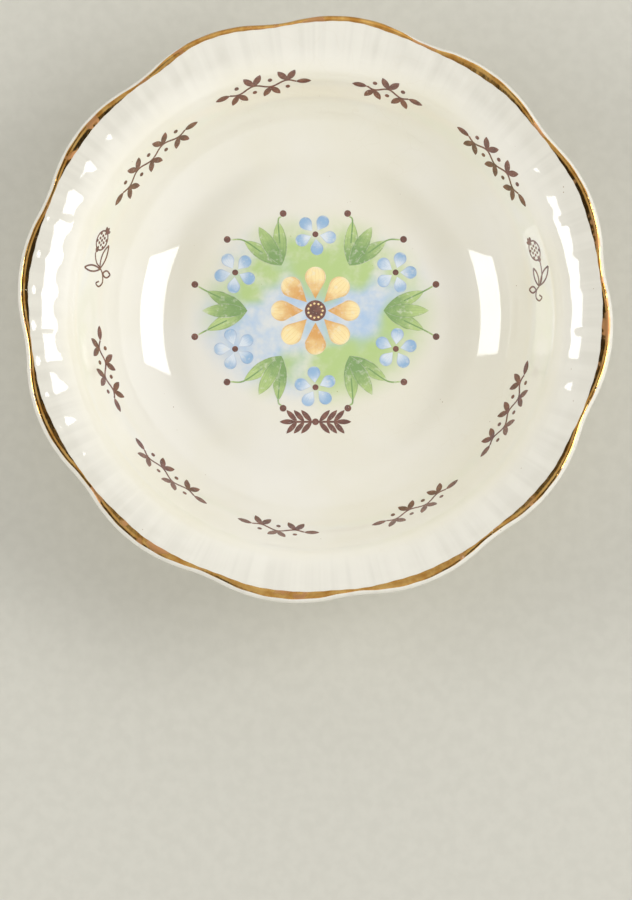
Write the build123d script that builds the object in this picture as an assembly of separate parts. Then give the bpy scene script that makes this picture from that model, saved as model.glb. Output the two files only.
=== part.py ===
from build123d import *
import os
from math import asin, cos, degrees, hypot, radians, sin, sqrt

os.makedirs("parts", exist_ok=True)

# A small seder dish: a shallow fired clay bowl with a scalloped, fluted and gilded rim and printed transfers.
# Millimetres and degrees. The axis is Z, the foot stands on Z = 0, and the picture's top is at +Y.

# Rim and lip, seen from above
rim_radius = 77.5  # axis to the crest of a lobe
lobe_count = 12
first_lobe_angle = 22.5  # anticlockwise from +X
scallop_depth = 1.7  # crest of a lobe to the bottom of a dip
dip_arc = 48.0  # hollow arc between two lobes
lip_round = 1.6  # rounding of the lip's upper and lower edges

# Wall in section, on the glazed inside face
rim_width = 5.4  # straight rim outside the flare, measured level at a lobe
rim_angle = 16.0  # slope of the straight rim
flare_arc = 17.3  # from the wall out to the rim
wall_angle = 61.5  # slope of the straight wall
wall_run = 5.6  # length of the straight wall
well_arc = 33.5  # from the flat of the well up to the wall
floor_height = 6.0  # flat of the well above the table
wall_thickness = 3.4
base_thickness = 4.4

# Foot ring
foot_step = 4.0  # edge of the flat well out to the foot's outer side
foot_width = 4.5
foot_edge_round = 0.5
foot_blend = 0.6  # where the ring meets the wall and the base

# Flutes pressed round the inside of the rim
flutes_per_lobe = 4
flute_setback = 7.6  # lip in to the middle of a flute, along the wall
flute_depth = 0.28
flute_arc = 30.0  # hollow of a flute, across it
flute_width = 8.4  # widest that a flute may be
flute_length = 12.0  # longest that a flute may be

# Coats
glaze_thickness = 0.4
bare_foot_height = 0.6  # the foot is wiped clean of glaze up to here
gilt_thickness = 0.15
gilt_reach = 3.3  # crest of a lobe in to the gold's round inner edge
gilt_inset = 1.0  # lip in to the gold's scalloped outer edge
print_thickness = 0.15

# Border transfers on the wall: middle and span in degrees round the bowl, and the middle's distance up the
# wall from the edge of the flat well
border = (
    (40, 26, 41.6),
    (72, 18, 41.6),
    (103, 24, 41.6),
    (136, 30, 37.8),
    (194, 24, 31.6),
    (227, 26, 31.6),
    (260, 22, 31.6),
    (298, 26, 31.6),
    (334, 29, 31.6),
)
left_sprig_angle = 165.0
right_sprig_angle = 11.0
sprig_climb = 36.5

# Leafy scroll of the border
scroll_pitch = 4.4  # one bend of the stem
scroll_rise = 0.8  # height of a bend
stem_width = 0.55
leaf_length = 4.0
leaf_width = 1.8
leaf_spread = 34.0  # a leaf's lean from the upright
berry_radius = 0.6
berry_rise = 1.7

# Line drawing of the sprigs: a stem from bud to curled end, and each leaf's root, angle, length and width
line_width = 0.45
bud_length = 5.8
bud_width = 5.2
seed_radius = 0.4
seed_pitch = 1.1
seed_field = 0.78  # part of the bud that the seeds fill
crown_leaf_length = 1.7
crown_leaf_width = 1.0
crown_spread = 45.0
collar_radius = 0.7
left_stem = (
    (2.0, 0.9),
    (0.6, 1.0),
    (-1.2, -0.6),
    (-2.0, -2.6),
    (-3.4, -4.3),
    (-5.6, -4.9),
    (-7.0, -3.6),
    (-6.4, -2.2),
    (-5.6, -3.4),
)
left_bud_angle = -16.0
left_leaves = ((-2.4, -2.8, 100, 7.5, 1.6), (-2.2, -2.7, -7, 6.8, 1.9), (-3.2, -4.3, -82, 3.0, 1.9))
right_stem = (
    (3.0, 2.2),
    (1.5, 2.2),
    (-0.6, 1.9),
    (-2.4, 1.1),
    (-3.5, -0.4),
    (-4.4, -2.0),
    (-6.2, -2.5),
    (-7.3, -1.2),
    (-6.7, 0.3),
    (-5.8, -0.9),
)
right_bud_angle = -21.0
right_leaves = ((-3.4, 0.0, 56, 6.7, 2.0), (-3.4, -0.6, -11, 5.1, 1.8), (-4.2, -2.1, -76, 3.0, 1.7))

# Floral picture in the well
picture_centre_y = 4.3
bud_ring = (33.0, 27.0)  # half width and half height of the ellipse that the outer buds lie on
blossom_ring = (24.5, 20.5)  # of the ellipse that the small blossoms lie on
spray_ring = (18.0, 14.0)  # of the ellipse that the leaf sprays grow from
blossom_count = 6
yellow_petal_count = 8
yellow_petal_length = 8.6
yellow_petal_round = 2.8  # radius of a petal's outer end
yellow_eye_radius = 2.8
blue_petal_count = 5
blue_petal_length = 4.4
blue_petal_round = 1.7
blue_eye_radius = 0.8
spray_leaf_length = 12.0
spray_leaf_width = 3.8
spray_spread = 26.0
bud_radius = 0.9
print_gap = 0.4  # bare glaze between two colours that meet

# Leaf spray below the picture
lower_spray_y = -25.4
lower_spray_length = 20.0
lower_spray_pairs = 3
lower_leaf_length = 4.2
lower_leaf_width = 1.35
lower_leaf_spread = 48.0
lower_berry_radius = 0.9

# Room that cutters and trimmed faces need past what they trim
overrun = 5.0

# How the lip's edges are told from the other edges
edge_slack = 0.01
steepest_lip_edge = 0.9  # upward part of an edge's unit direction

# Places on the wall that follow from the sizes above
wall_slope = radians(wall_angle)
rim_slope = radians(rim_angle)
well_arc_length = well_arc * wall_slope
flare_length = flare_arc * (wall_slope - rim_slope)
flare_start = well_arc_length + wall_run
flare_end = flare_start + flare_length
lip_climb = flare_end + rim_width / cos(rim_slope)
flare_radius = rim_radius - rim_width - flare_arc * (sin(wall_slope) - sin(rim_slope))
run_radius = flare_radius - wall_run * cos(wall_slope)
well_radius = run_radius - well_arc * sin(wall_slope)
run_height = floor_height + well_arc * (1 - cos(wall_slope))
flare_height = run_height + wall_run * sin(wall_slope)
lip_height = (
    flare_height
    + flare_arc * (cos(rim_slope) - cos(wall_slope))
    + rim_width * sin(rim_slope) / cos(rim_slope)
)
foot_radius = well_radius + foot_step


def wall_at(climb):
    """Radius, height and slope of the inside face, at a distance up the wall from the flat of the well."""
    if climb < well_arc_length:
        slope = climb / well_arc
        return well_radius + well_arc * sin(slope), floor_height + well_arc * (1 - cos(slope)), slope
    if climb < flare_start:
        run = climb - well_arc_length
        return run_radius + run * cos(wall_slope), run_height + run * sin(wall_slope), wall_slope
    slope = max(wall_slope - (climb - flare_start) / flare_arc, rim_slope)
    run = max(climb - flare_end, 0)
    radius = flare_radius + flare_arc * (sin(wall_slope) - sin(slope)) + run * cos(slope)
    height = flare_height + flare_arc * (cos(slope) - cos(wall_slope)) + run * sin(slope)
    return radius, height, slope


def wall_plane(angle, climb):
    """Plane on the inside face: X runs clockwise round the bowl, Y up the wall and Z out of the face."""
    radius, height, slope = wall_at(climb)
    outward = Vector(cos(radians(angle)), sin(radians(angle)), 0)
    clockwise = Vector(sin(radians(angle)), -cos(radians(angle)), 0)
    normal = Vector(0, 0, cos(slope)) - outward * sin(slope)
    return Plane(outward * radius + Vector(0, 0, height), x_dir=clockwise, z_dir=normal)


def wall_line(depth, start_radius):
    """The wall in section at a depth below its inside face, from a radius near the well to past the lip."""
    start = degrees(asin((start_radius - well_radius) / (well_arc + depth)))
    rise = CenterArc((well_radius, floor_height + well_arc), well_arc + depth, start - 90, wall_angle - start)
    run = PolarLine(rise @ 1, wall_run, wall_angle)
    turn = flare_arc - depth
    centre = run @ 1 + Vector(turn * sin(wall_slope), -turn * cos(wall_slope))
    flare = CenterArc(centre, turn, wall_angle + 90, rim_angle - wall_angle)
    rim = PolarLine(flare @ 1, rim_width + overrun, rim_angle)
    return [rise, run, flare, rim]


def section(skin):
    """Half section of the bowl with every face but the foot's bearing face moved in by a skin."""
    inside = wall_line(skin, well_radius)
    foot_outer = foot_radius - skin
    foot_inner = foot_radius - foot_width + skin
    outside = wall_line(wall_thickness - skin, foot_outer)
    ceiling = floor_height - base_thickness + skin
    floor_centre = Vector(0, floor_height - skin)
    ring = Polyline(outside[0] @ 0, (foot_outer, 0), (foot_inner, 0), (foot_inner, ceiling))
    base = Polyline((foot_inner, ceiling), (0, ceiling), floor_centre)
    floor = Line(floor_centre, inside[0] @ 0)
    lip = Line(inside[-1] @ 1, outside[-1] @ 1)
    half = make_face([floor, *inside, lip, *outside, ring, base])
    edges = [v for v in half.vertices() if v.X > foot_inner / 2 and abs(v.Y) < foot_edge_round / 2]
    half = fillet(edges, foot_edge_round)
    joins = [Vector(foot_inner, ceiling), outside[0] @ 0]
    corners = [half.vertices().sort_by_distance(join)[0] for join in joins]
    return fillet(corners, foot_blend + skin)


def scalloped_outline(inset):
    """Outline of the lip from above, moved in by an inset: lobes joined by small hollow arcs."""
    half_step = 180 / lobe_count
    dip_centre = rim_radius - scallop_depth + dip_arc
    across = dip_centre * cos(radians(half_step))
    lobe_arc = (rim_radius**2 + dip_centre**2 - 2 * rim_radius * across - dip_arc**2) / (
        2 * (rim_radius - across + dip_arc)
    )
    lobe_centre = rim_radius - lobe_arc
    to_dip = (Vector(dip_centre, 0).rotate(Axis.Z, half_step) - Vector(lobe_centre, 0)).normalized()
    join = Vector(lobe_centre, 0) + to_dip * (lobe_arc - inset)
    join_angle = degrees(asin(join.Y / join.length))
    crest = Vector(rim_radius - inset, 0)
    dip = Vector(rim_radius - scallop_depth - inset, 0)
    outline = []
    for lobe in range(lobe_count):
        angle = first_lobe_angle + 2 * half_step * lobe
        lobe_start = Vector(join.length, 0).rotate(Axis.Z, angle - join_angle)
        lobe_end = Vector(join.length, 0).rotate(Axis.Z, angle + join_angle)
        next_start = Vector(join.length, 0).rotate(Axis.Z, angle + 2 * half_step - join_angle)
        outline.append(ThreePointArc(lobe_start, crest.rotate(Axis.Z, angle), lobe_end))
        outline.append(ThreePointArc(lobe_end, dip.rotate(Axis.Z, angle + half_step), next_start))
    return make_face(outline)


def bowl(skin):
    """The bowl with its faces moved in by a skin: turned, trimmed to the scallops, its lip rounded."""
    turned = revolve(Plane.XZ * section(skin), Axis.Z)
    trimmed = turned & extrude(scalloped_outline(skin), lip_height + overrun)
    least = rim_radius - scallop_depth - skin
    lip_edges = []
    for edge in trimmed.edges():
        middle = edge @ 0.5
        if Vector(middle.X, middle.Y).length > least - edge_slack and abs((edge % 0.5).Z) < steepest_lip_edge:
            lip_edges.append(edge)
    return fillet(lip_edges, lip_round - skin)


def flutes():
    """Cutters for the shallow flutes round the inside of the rim."""
    half_width = flute_width / 2
    side = flute_arc - flute_depth - sqrt(flute_arc**2 - half_width**2)
    top = overrun / 2
    hollow = make_face(
        [
            ThreePointArc((-half_width, side), (0, -flute_depth), (half_width, side)),
            Polyline((half_width, side), (half_width, top), (-half_width, top), (-half_width, side)),
        ]
    )
    face = wall_plane(first_lobe_angle, lip_climb - flute_setback)
    across = Plane(face.origin, x_dir=-face.x_dir, z_dir=face.y_dir)
    cutter = extrude(across * hollow, flute_length / 2, both=True)
    count = lobe_count * flutes_per_lobe
    return PolarLocations(0, count, start_angle=180 / count) * cutter


def print_layer():
    """The thin layer on the inside face that every print lies in."""
    below = wall_line(0, well_radius)
    above = wall_line(-print_thickness, well_radius)
    ends = [
        Line((0, floor_height), below[0] @ 0),
        Line(below[-1] @ 1, above[-1] @ 1),
        Polyline((0, floor_height), (0, floor_height + print_thickness), above[0] @ 0),
    ]
    return revolve(Plane.XZ * make_face([*below, *above, *ends]), Axis.Z)


def leaf_sides(length, width):
    """Two arcs that meet in a point at both ends, along +X from the origin."""
    upper = ThreePointArc((0, 0), (length / 2, width / 2), (length, 0))
    lower = ThreePointArc((length, 0), (length / 2, -width / 2), (0, 0))
    return upper, lower


def leaf(length, width):
    return make_face(leaf_sides(length, width))


def drawn_leaf(length, width):
    upper, lower = leaf_sides(length, width)
    return trace(upper, line_width) + trace(lower, line_width)


def spin(x, y, angle):
    return Location((x, y, 0), (0, 0, angle))


def vine(span, climb):
    """A leafy scroll that bends with the ring it lies on, drawn on a plane of the wall."""
    radius, height, slope = wall_at(climb)
    apex = radius / cos(slope)
    length = radius * radians(span) - 2 * leaf_length
    bends = round(length / scroll_pitch)
    pitch = length / bends

    def on_ring(along, up):
        turn = along / apex
        return Vector((apex + up) * sin(turn), (apex + up) * cos(turn) - apex)

    stem = []
    growth = []
    for bend in range(bends):
        side = 1 if bend % 2 else -1
        start = -length / 2 + pitch * bend
        middle = start + pitch / 2
        crest = on_ring(middle, side * scroll_rise)
        stem.append(ThreePointArc(on_ring(start, 0), crest, on_ring(start + pitch, 0)))
        upright = side * 90 - degrees(middle / apex)
        for lean in (-leaf_spread, leaf_spread):
            growth.append(spin(crest.X, crest.Y, upright + lean) * leaf(leaf_length, leaf_width))
        berry = on_ring(middle, -side * berry_rise)
        growth.append(Pos(berry.X, berry.Y) * Circle(berry_radius))
    for end in (-1, 1):
        tip = on_ring(end * length / 2, 0)
        heading = 90 - end * 90 - degrees(end * length / 2 / apex)
        growth.append(spin(tip.X, tip.Y, heading) * leaf(leaf_length, leaf_width))
    return trace(stem, stem_width) + growth


def sprig(stem, bud_angle, leaves):
    """A seeded bud on a curling stem with open leaves, drawn in lines with the bud at +X."""
    half_length = bud_length / 2
    half_width = bud_width / 2
    base = Pos(*stem[0]) * Rot(0, 0, bud_angle)
    middle = base * Pos(half_length, 0)
    inside = Ellipse(half_length - line_width, half_width - line_width)
    growth = [middle * (Ellipse(half_length, half_width) - inside), base * Circle(collar_radius)]
    for column in range(-2, 3):
        for row in range(-2, 3):
            x = seed_pitch * column
            y = seed_pitch * (row + column % 2 / 2)
            if hypot(x / half_length, y / half_width) < seed_field:
                growth.append(middle * Pos(x, y) * Circle(seed_radius))
    for lean in (-crown_spread, 0, crown_spread):
        tip = base * spin(bud_length - line_width, 0, lean)
        growth.append(tip * leaf(crown_leaf_length, crown_leaf_width))
    for x, y, angle, length, width in leaves:
        growth.append(spin(x, y, angle) * drawn_leaf(length, width))
    return trace(Spline(*stem), line_width) + growth


def petal(length, end_round):
    """A drop along +X: straight sides from a point at the origin to a round outer end."""
    centre = length - end_round
    lean = asin(end_round / centre)
    side = Vector(centre * cos(lean) ** 2, centre * cos(lean) * sin(lean))
    tail = Vector(side.X, -side.Y)
    return make_face([Line((0, 0), side), ThreePointArc(side, (length, 0), tail), Line(tail, (0, 0))])


def blossom(count, start, length, end_round, turn):
    """Petals round the origin, each starting at a distance from it."""
    one = Pos(start, 0) * petal(length, end_round)
    return [Rot(0, 0, turn + 360 / count * number) * one for number in range(count)]


def on_ellipse(half_sizes, angle):
    """Place on an ellipse round the middle of the picture."""
    half_width, half_height = half_sizes
    return Pos(half_width * cos(radians(angle)), picture_centre_y + half_height * sin(radians(angle)))


def picture():
    """Drawings of the picture, one list of outlines for each printed colour."""
    middle = Pos(0, picture_centre_y)
    yellow_start = yellow_eye_radius + print_gap
    blue_start = blue_eye_radius + print_gap
    yellow = [
        middle * one
        for one in blossom(yellow_petal_count, yellow_start, yellow_petal_length, yellow_petal_round, 0)
    ]
    brown = [middle * Circle(yellow_eye_radius)]
    blue = []
    leaves = []
    step = 360 / blossom_count
    for number in range(blossom_count):
        spray_angle = step * number
        place = on_ellipse(blossom_ring, spray_angle + step / 2)
        flower = blossom(blue_petal_count, blue_start, blue_petal_length, blue_petal_round, spray_angle)
        blue += [place * one for one in flower]
        brown.append(place * Circle(blue_eye_radius))
        root = on_ellipse(spray_ring, spray_angle)
        for lean in (-spray_spread, 0, spray_spread):
            leaves.append(root * Rot(0, 0, spray_angle + lean) * leaf(spray_leaf_length, spray_leaf_width))
        for side in (-step / 4, step / 4):
            brown.append(on_ellipse(bud_ring, spray_angle + side) * Circle(bud_radius))
    return {"yellow": yellow, "blue": blue, "leaf": leaves, "brown": brown}


def lower_spray():
    """A level stem with pairs of leaves that point away from a berry in its middle."""
    half = lower_spray_length / 2 - lower_leaf_length
    pitch = half / lower_spray_pairs
    growth = [Circle(lower_berry_radius)]
    for end in (0, 180):
        growth.append(Rot(0, 0, end) * Pos(half - stem_width, 0) * leaf(lower_leaf_length, lower_leaf_width))
        for number in range(1, lower_spray_pairs + 1):
            for lean in (-lower_leaf_spread, lower_leaf_spread):
                root = Rot(0, 0, end) * Pos(pitch * (number - 0.5), 0)
                growth.append(root * Rot(0, 0, lean) * leaf(lower_leaf_length, lower_leaf_width))
    return Pos(0, lower_spray_y) * (trace(Line((-half, 0), (half, 0)), stem_width) + growth)


def transfer(drawing, plane):
    """The print layer under a drawing."""
    return extrude(plane * Sketch(drawing), overrun, both=True) & layer


# Clay body and its coats
biscuit_body = bowl(glaze_thickness)
glazed_bowl = bowl(0)
wiped_foot = Pos(0, 0, bare_foot_height - overrun / 2) * Box(3 * foot_radius, 3 * foot_radius, overrun)
glaze = (glazed_bowl - biscuit_body - wiped_foot - flutes()).solids().sort_by(SortBy.VOLUME)
gilt_outline = scalloped_outline(gilt_inset) - Circle(rim_radius - gilt_reach)
gilt_prism = Pos(0, 0, lip_height - wall_thickness) * extrude(gilt_outline, overrun)
gilt_rim_band = (bowl(-gilt_thickness) & gilt_prism) - glazed_bowl
export_step(biscuit_body, "parts/biscuit_body.step")
export_step(glaze[-1], "parts/glaze_coat.step")
export_step(glaze[0], "parts/foot_well_glaze.step")
export_step(gilt_rim_band, "parts/gilt_rim_band.step")

# Border transfers and the two sprigs
layer = print_layer()
for number, (angle, span, climb) in enumerate(border, start=1):
    garland = transfer(vine(span, climb), wall_plane(angle, climb))
    export_step(garland, f"parts/border_transfer_{number}.step")
left_drawing = sprig(left_stem, left_bud_angle, left_leaves)
right_drawing = mirror(sprig(right_stem, right_bud_angle, right_leaves), about=Plane.YZ)
left_sprig = transfer(left_drawing, wall_plane(left_sprig_angle, sprig_climb))
right_sprig = transfer(right_drawing, wall_plane(right_sprig_angle, sprig_climb))
export_step(left_sprig, "parts/left_sprig_transfer.step")
export_step(right_sprig, "parts/right_sprig_transfer.step")

# Picture and spray in the well
well_plane = Plane((0, 0, floor_height))
for colour, drawing in picture().items():
    export_step(transfer(drawing, well_plane), f"parts/medallion_{colour}_print.step")
export_step(transfer(lower_spray(), well_plane), "parts/lower_transfer.step")
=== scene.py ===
from math import asin, atan, cos, pi, radians, sin, tan

import bpy
import numpy as np
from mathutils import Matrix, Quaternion, Vector


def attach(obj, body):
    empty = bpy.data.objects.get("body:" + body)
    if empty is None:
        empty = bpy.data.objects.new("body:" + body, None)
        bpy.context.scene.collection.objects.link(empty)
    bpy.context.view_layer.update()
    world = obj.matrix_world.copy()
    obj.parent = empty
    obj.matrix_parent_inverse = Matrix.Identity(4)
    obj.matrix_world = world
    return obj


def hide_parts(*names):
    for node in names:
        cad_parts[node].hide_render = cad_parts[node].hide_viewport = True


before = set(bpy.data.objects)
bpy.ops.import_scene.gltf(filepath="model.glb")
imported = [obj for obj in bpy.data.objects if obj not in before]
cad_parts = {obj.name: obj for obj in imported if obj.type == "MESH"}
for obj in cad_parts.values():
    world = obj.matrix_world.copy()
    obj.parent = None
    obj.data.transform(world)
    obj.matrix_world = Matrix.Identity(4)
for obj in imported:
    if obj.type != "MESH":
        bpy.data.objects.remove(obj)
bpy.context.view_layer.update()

# Sizes of the dish in metres, the same as in the part's own model
mm = 0.001
rim_radius = 77.5 * mm
lobe_count = 12
first_lobe_angle = radians(22.5)
scallop_depth = 1.7 * mm
dip_arc = 48.0 * mm
lip_round = 1.6 * mm
rim_width = 5.4 * mm
rim_slope = radians(16)
flare_arc = 17.3 * mm
wall_slope = radians(61.5)
wall_run = 5.6 * mm
well_arc = 33.5 * mm
floor_height = 6.0 * mm
wall_thickness = 3.4 * mm
foot_step = 4.0 * mm
foot_blend = 0.6 * mm
bare_foot_height = 0.6 * mm
flutes_per_lobe = 4
flute_setback = 7.6 * mm
gilt_reach = 3.3 * mm
gilt_inset = 1.0 * mm

# Relief and thin films that only the scene has
flute_depth = 0.24 * mm
flute_inner_reach = 4.4 * mm  # from a flute's deepest place towards the well
flute_outer_reach = 4.1 * mm  # and towards the lip
flute_narrowing = 3  # power that makes the flutes narrower than the lands between them
shell_depth = 0.3 * mm  # the glaze's hidden inner face, just clear of the clay
film_lift = 0.03 * mm  # a fired print's height over the glaze
film_sink = 0.03 * mm  # its hidden underside, in the glaze
film_step = 0.0015 * mm  # from one printed patch to the next
wash_lift = 0.012 * mm
point_half_width = 0.01 * mm  # of a printed patch at its pointed end
sharp_edge = radians(40)  # edges that turn by more than this stay crisp

# Gold lining as a brush laid it
gilt_lift = 0.05 * mm
gilt_creep = 0.12 * mm  # how far the gold ran out over the lip
gilt_swell = 0.2 * mm  # how far the band's inner edge follows the lobes
gilt_slip = 1.25 * mm  # how far out the inner edge ran at the far side
gilt_outer_slip = 0.75 * mm  # how far out the outer edge ran there
gilt_follow = 0.7 * mm  # how much closer the inner edge follows the dips there
slip_start = radians(64)
slip_rise = radians(16)
slip_fall = radians(15)
slip_end = radians(127)

# Unsteadiness of the gold's edges: height of each wave, waves round the rim, and where they start
inner_waver = ((0.10 * mm, 17, 0), (0.07 * mm, 31, 1), (0.04 * mm, 113, 0))
outer_waver = ((0.05 * mm, 67, 2),)

# Mesh steps in each stretch of the section, at fineness 1
flat_steps = 8
rise_steps = 24
run_steps = 4
flare_steps = 22
rim_steps = 5
lip_steps = 12
under_lip_steps = 9
under_flare_steps = 14
under_rise_steps = 18
foot_blend_steps = 5
first_ring = 0.02  # innermost ring of the mesh, as a share of the flat well's radius
tiny = 1e-9  # keeps a division or a step clear of rounding

# Mesh steps round the dish
steps_per_flute = 8
gilt_steps_per_lobe = 96
gilt_columns = 13

# Mesh steps of the prints
scroll_steps = 12  # to each bend of a scroll
leaf_edge_steps = 14
bud_steps = 41
lower_stem_steps = 15

# Places that follow from the sizes
well_arc_length = well_arc * wall_slope
flare_start = well_arc_length + wall_run
flare_end = flare_start + flare_arc * (wall_slope - rim_slope)
lip_climb = flare_end + rim_width / cos(rim_slope)
flare_radius = rim_radius - rim_width - flare_arc * (sin(wall_slope) - sin(rim_slope))
run_radius = flare_radius - wall_run * cos(wall_slope)
well_radius = run_radius - well_arc * sin(wall_slope)
run_height = floor_height + well_arc * (1 - cos(wall_slope))
flare_height = run_height + wall_run * sin(wall_slope)
flare_end_radius = rim_radius - rim_width
flare_end_height = flare_height + flare_arc * (cos(rim_slope) - cos(wall_slope))
foot_radius = well_radius + foot_step
flute_climb = lip_climb - flute_setback


def wall_at(climb):
    """Radius, height and slope of the inside face at distances up the wall.

    A distance below zero is on the flat of the well.
    """
    climb = np.asarray(climb, float)
    on_arc = np.clip(climb, 0, well_arc_length) / well_arc
    on_run = np.clip(climb - well_arc_length, 0, wall_run)
    on_flare = np.clip(climb - flare_start, 0, flare_end - flare_start) / flare_arc
    on_rim = np.maximum(climb - flare_end, 0)
    slope = on_arc - on_flare
    turned = wall_slope - on_flare
    radius = well_radius + np.minimum(climb, 0) + well_arc * np.sin(on_arc) + on_run * cos(wall_slope)
    radius = radius + flare_arc * (sin(wall_slope) - np.sin(turned)) + on_rim * cos(rim_slope)
    height = floor_height + well_arc * (1 - np.cos(on_arc)) + on_run * sin(wall_slope)
    height = height + flare_arc * (np.cos(turned) - cos(wall_slope)) + on_rim * sin(rim_slope)
    return radius, height, slope


def lip_radius(angle, inset=0.0):
    """Radius of the scalloped lip at angles round the dish: lobes joined by small hollow arcs."""
    half_step = pi / lobe_count
    dip_centre = rim_radius - scallop_depth + dip_arc
    across = dip_centre * cos(half_step)
    lobe_arc = (rim_radius**2 + dip_centre**2 - 2 * rim_radius * across - dip_arc**2) / (
        2 * (rim_radius - across + dip_arc)
    )
    lobe_centre = rim_radius - lobe_arc
    from_crest = (np.asarray(angle) - first_lobe_angle + half_step) % (2 * half_step) - half_step
    from_dip = half_step - np.abs(from_crest)
    lobe = lobe_centre * np.cos(from_crest)
    lobe = lobe + np.sqrt((lobe_arc - inset) ** 2 - (lobe_centre * np.sin(from_crest)) ** 2)
    hollow = np.maximum((dip_arc + inset) ** 2 - (dip_centre * np.sin(from_dip)) ** 2, 0)
    dip = dip_centre * np.cos(from_dip) - np.sqrt(hollow)
    join_y = dip_centre * sin(half_step) * (lobe_arc - inset) / (lobe_arc + dip_arc)
    join_x = lobe_centre + (across - lobe_centre) * (lobe_arc - inset) / (lobe_arc + dip_arc)
    return np.where(np.abs(from_crest) < np.arctan2(join_y, join_x), lobe, dip)


def flute_relief(climb, angle):
    """How far the flutes press the inside face down."""
    count = lobe_count * flutes_per_lobe
    across = (0.5 + 0.5 * np.cos(count * (angle - first_lobe_angle) + pi)) ** flute_narrowing
    reach = np.where(climb > flute_climb, flute_outer_reach, flute_inner_reach)
    along = np.clip(1 - ((climb - flute_climb) / reach) ** 2, 0, 1)
    return flute_depth * across * along * along * (3 - 2 * along)


def rim_line(radius, depth):
    """Height of the straight rim's inside face, or of a face a depth below it."""
    return flare_end_height + (radius - flare_end_radius) * tan(rim_slope) - depth / cos(rim_slope)


def lip_arc(lip, skin, turns, lower):
    """Rounding of the lip's upper or lower edge, at angles from level, in each meridian plane."""
    edge_round = lip_round - skin
    depth = wall_thickness - skin - edge_round if lower else skin + edge_round
    centre_radius = (lip - skin - edge_round)[:, None]
    centre_height = rim_line(centre_radius, depth)
    return centre_radius + edge_round * np.cos(turns), centre_height + edge_round * np.sin(turns)


def inside_section(angle, skin, fineness):
    """Radii and heights from the middle of the well up the inside face to the lip, a row for each angle."""
    flat = np.linspace(first_ring, 1, int(flat_steps * fineness)) * well_radius - well_radius
    rise = np.linspace(0, well_arc_length, int(rise_steps * fineness) + 1)[1:]
    run = np.linspace(well_arc_length, flare_start, int(run_steps * fineness) + 1)[1:]
    flare = np.linspace(flare_start, flare_end, int(flare_steps * fineness) + 1)[1:]
    to_rim = np.concatenate([flat, rise, run, flare])
    upper_turns = np.linspace(pi / 2 + rim_slope, 0, int(lip_steps * fineness))
    arc_radius, arc_height = lip_arc(lip_radius(angle), skin, upper_turns, False)
    rim_length = (arc_radius[:, :1] - skin * sin(rim_slope) - flare_end_radius) / cos(rim_slope)
    rim = flare_end + rim_length * np.linspace(0, 1, int(rim_steps * fineness) + 1)[1:-1]
    climb = np.hstack([np.repeat(to_rim[None], len(angle), 0), rim])
    radius, height, slope = wall_at(climb)
    down = flute_relief(climb, angle[:, None]) if skin == 0 else skin
    radius = radius + down * np.sin(slope)
    height = height - down * np.cos(slope)
    return np.hstack([radius, arc_radius]), np.hstack([height, arc_height])


def outside_section(angle, skin, fineness):
    """Radii and heights from the lip down the outside face to the wiped foot, a row for each angle."""
    depth = wall_thickness - skin
    lower_turns = np.linspace(0, rim_slope - pi / 2, int(under_lip_steps * fineness))
    arc_radius, arc_height = lip_arc(lip_radius(angle), skin, lower_turns, True)
    turn = flare_arc - depth
    flare_slopes = np.linspace(rim_slope, wall_slope, int(under_flare_steps * fineness))
    flare_radii = flare_radius + flare_arc * sin(wall_slope) - turn * np.sin(flare_slopes)
    flare_heights = flare_height - flare_arc * cos(wall_slope) + turn * np.cos(flare_slopes)
    blend = foot_blend + skin
    outer = well_arc + depth
    foot_side = foot_radius - skin
    blend_slope = asin((foot_side + blend - well_radius) / (outer + blend))
    rise_slopes = np.linspace(wall_slope, blend_slope, int(under_rise_steps * fineness))
    rise_radii = well_radius + outer * np.sin(rise_slopes)
    rise_heights = floor_height + well_arc - outer * np.cos(rise_slopes)
    blend_centre = floor_height + well_arc - (outer + blend) * cos(blend_slope)
    blend_turns = np.linspace(pi / 2 + blend_slope, pi, int(foot_blend_steps * fineness))[1:]
    blend_radii = foot_side + blend + blend * np.cos(blend_turns)
    blend_heights = blend_centre + blend * np.sin(blend_turns)
    radii = np.concatenate([flare_radii, rise_radii, blend_radii, [foot_side]])
    heights = np.concatenate([flare_heights, rise_heights, blend_heights, [bare_foot_height]])
    fixed = np.ones((len(angle), 1))
    return np.hstack([arc_radius, fixed * radii]), np.hstack([arc_height, fixed * heights])


def round_points(angle, radius, height):
    """Points of a surface given as radii and heights, a row for each angle."""
    x = radius * np.cos(angle)[:, None]
    y = radius * np.sin(angle)[:, None]
    return np.stack([x, y, height], axis=-1)


def grid_faces(rows, columns, first, around, flip=False):
    """Quads of a grid of points; a grid that goes around joins its last row to its first."""
    row = np.arange(rows if around else rows - 1)[:, None]
    column = np.arange(columns - 1)[None]
    a = first + row * columns + column
    b = first + (row + 1) % rows * columns + column
    quads = np.stack([a, b, b + 1, a + 1], axis=-1).reshape(-1, 4)
    return quads[:, ::-1] if flip else quads


def make_piece(name, points, faces, material, slot, *nodes, marks=None):
    """A mesh piece on the dish that stands for CAD nodes."""
    mesh = bpy.data.meshes.new(name)
    mesh.from_pydata(np.asarray(points).tolist(), [], [list(map(int, face)) for face in faces])
    mesh.validate()
    for mark_name, values in (marks or {}).items():
        attribute = mesh.attributes.new(mark_name, "FLOAT", "POINT")
        attribute.data.foreach_set("value", np.asarray(values, np.float32))
    mesh.polygons.foreach_set("use_smooth", [True] * len(mesh.polygons))
    mesh.set_sharp_from_angle(angle=sharp_edge)
    mesh.materials.append(material)
    piece = bpy.data.objects.new(name, mesh)
    bpy.context.scene.collection.objects.link(piece)
    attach(piece, "root")
    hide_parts(*nodes)
    return piece


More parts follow.
